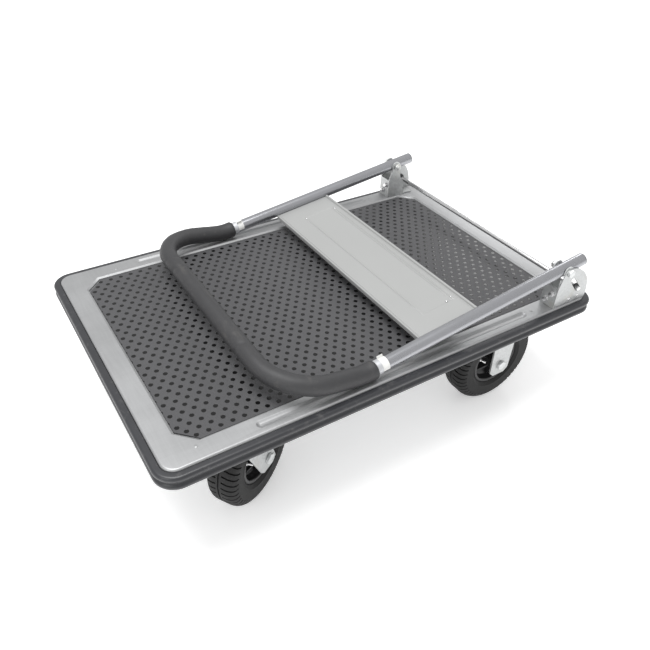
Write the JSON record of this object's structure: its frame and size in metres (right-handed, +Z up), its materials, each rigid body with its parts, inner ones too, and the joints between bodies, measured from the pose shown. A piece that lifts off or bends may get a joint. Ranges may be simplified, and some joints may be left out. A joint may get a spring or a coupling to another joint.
{
  "type": "folding platform cart",
  "caption": "Flat-deck hand cart with a fold-down cranked handle, a rubber edge all round, rigid and swivel casters with air tyres and a locking bar at the hinge.",
  "frame": {"origin": "on the floor, below the centre of the deck", "axes": "+X along the deck towards the handle hinge and the rigid casters, +Y to the far side, +Z up"},
  "size_m": [0.932, 0.609, 0.3436],
  "materials": {
    "deck_steel": "pressed sheet, brushed satin",
    "mat_vinyl": "matt, fine cross pattern",
    "edge_rubber": "smooth, slight sheen",
    "handle_tube": "satin drawn tube",
    "foam_grip": "matt foam",
    "panel_paint": "pale satin paint",
    "black_plastic": "moulded matt",
    "bar_steel": "bright plated",
    "tyre": "moulded tread, matt",
    "wheel_rim": "moulded, semi-gloss",
    "caster_zinc": "zinc plated",
    "bracket_zinc": "zinc plated, mottled",
    "fastener_zinc": "zinc plated"
  },
  "bodies": {
    "deck": {"deck_tray": "deck_steel", "anti_slip_mat": "mat_vinyl", "edge_bumper": "edge_rubber", "spine_rail": "deck_steel", "cross_channel_hinge_end": "deck_steel", "cross_channel_swivel_end": "deck_steel", "hinge_bracket_near": "bracket_zinc", "pivot_bolt_near": "fastener_zinc", "pivot_nut_near": "fastener_zinc", "pivot_washer_inner_near": "black_plastic", "pivot_washer_outer_near": "black_plastic", "rigid_fork_near": "caster_zinc", "rigid_near_axle_bolt": "fastener_zinc", "rigid_near_axle_nut": "fastener_zinc", "swivel_plate_near": "caster_zinc", "swivel_race_near": "caster_zinc", "hinge_bracket_far": "bracket_zinc", "pivot_bolt_far": "fastener_zinc", "pivot_nut_far": "fastener_zinc", "pivot_washer_inner_far": "black_plastic", "pivot_washer_outer_far": "black_plastic", "rigid_fork_far": "caster_zinc", "rigid_far_axle_bolt": "fastener_zinc", "rigid_far_axle_nut": "fastener_zinc", "swivel_plate_far": "caster_zinc", "swivel_race_far": "caster_zinc"},
    "handle": {"handle_tube": "handle_tube", "grip_sleeve": "foam_grip", "cross_panel": "panel_paint", "tube_plug_near": "black_plastic", "tube_plug_far": "black_plastic"},
    "lock": {"locking_bar": "bar_steel", "bar_ring_near": "black_plastic", "bar_ring_far": "black_plastic"},
    "swivel_head_near": {"kingpin_near": "fastener_zinc", "swivel_fork_near": "caster_zinc", "swivel_near_axle_bolt": "fastener_zinc", "swivel_near_axle_nut": "fastener_zinc"},
    "rigid_wheel_near": {"rigid_near_tyre": "tyre", "rigid_near_rim": "wheel_rim", "rigid_near_bearing_outboard": "fastener_zinc", "rigid_near_bearing_inboard": "fastener_zinc"},
    "swivel_wheel_near": {"swivel_near_tyre": "tyre", "swivel_near_rim": "wheel_rim", "swivel_near_bearing_outboard": "fastener_zinc", "swivel_near_bearing_inboard": "fastener_zinc"},
    "swivel_head_far": {"kingpin_far": "fastener_zinc", "swivel_fork_far": "caster_zinc", "swivel_far_axle_bolt": "fastener_zinc", "swivel_far_axle_nut": "fastener_zinc"},
    "rigid_wheel_far": {"rigid_far_tyre": "tyre", "rigid_far_rim": "wheel_rim", "rigid_far_bearing_outboard": "fastener_zinc", "rigid_far_bearing_inboard": "fastener_zinc"},
    "swivel_wheel_far": {"swivel_far_tyre": "tyre", "swivel_far_rim": "wheel_rim", "swivel_far_bearing_outboard": "fastener_zinc", "swivel_far_bearing_inboard": "fastener_zinc"}
  },
  "joints": [
    {"name": "handle_fold", "type": "hinge", "parent": "deck", "child": "handle", "pos_m": [0.371, 0, 0.3243], "axis": [0, 1, 0], "range_deg": [0, 103]},
    {"name": "bar_slide", "type": "slide", "parent": "deck", "child": "lock", "axis": [-0.6691, 0, 0.7431], "range_m": [0, 0.0324]},
    {"name": "swivel_near", "type": "hinge", "parent": "deck", "child": "swivel_head_near", "pos_m": [-0.31, -0.214, 0.2], "axis": [0, 0, 1], "continuous": true},
    {"name": "swivel_wheel_spin_near", "type": "hinge", "parent": "swivel_head_near", "child": "swivel_wheel_near", "pos_m": [-0.27143, -0.19082, 0.1], "axis": [-0.515, 0.8572, 0], "continuous": true},
    {"name": "rigid_wheel_spin_near", "type": "hinge", "parent": "deck", "child": "rigid_wheel_near", "pos_m": [0.288, -0.209, 0.1], "axis": [0, 1, 0], "continuous": true},
    {"name": "swivel_far", "type": "hinge", "parent": "deck", "child": "swivel_head_far", "pos_m": [-0.31, 0.214, 0.2], "axis": [0, 0, 1], "continuous": true},
    {"name": "swivel_wheel_spin_far", "type": "hinge", "parent": "swivel_head_far", "child": "swivel_wheel_far", "pos_m": [-0.26598, 0.22336, 0.1], "axis": [-0.2079, 0.9781, 0], "continuous": true},
    {"name": "rigid_wheel_spin_far", "type": "hinge", "parent": "deck", "child": "rigid_wheel_far", "pos_m": [0.288, 0.209, 0.1], "axis": [0, 1, 0], "continuous": true}
  ]
}
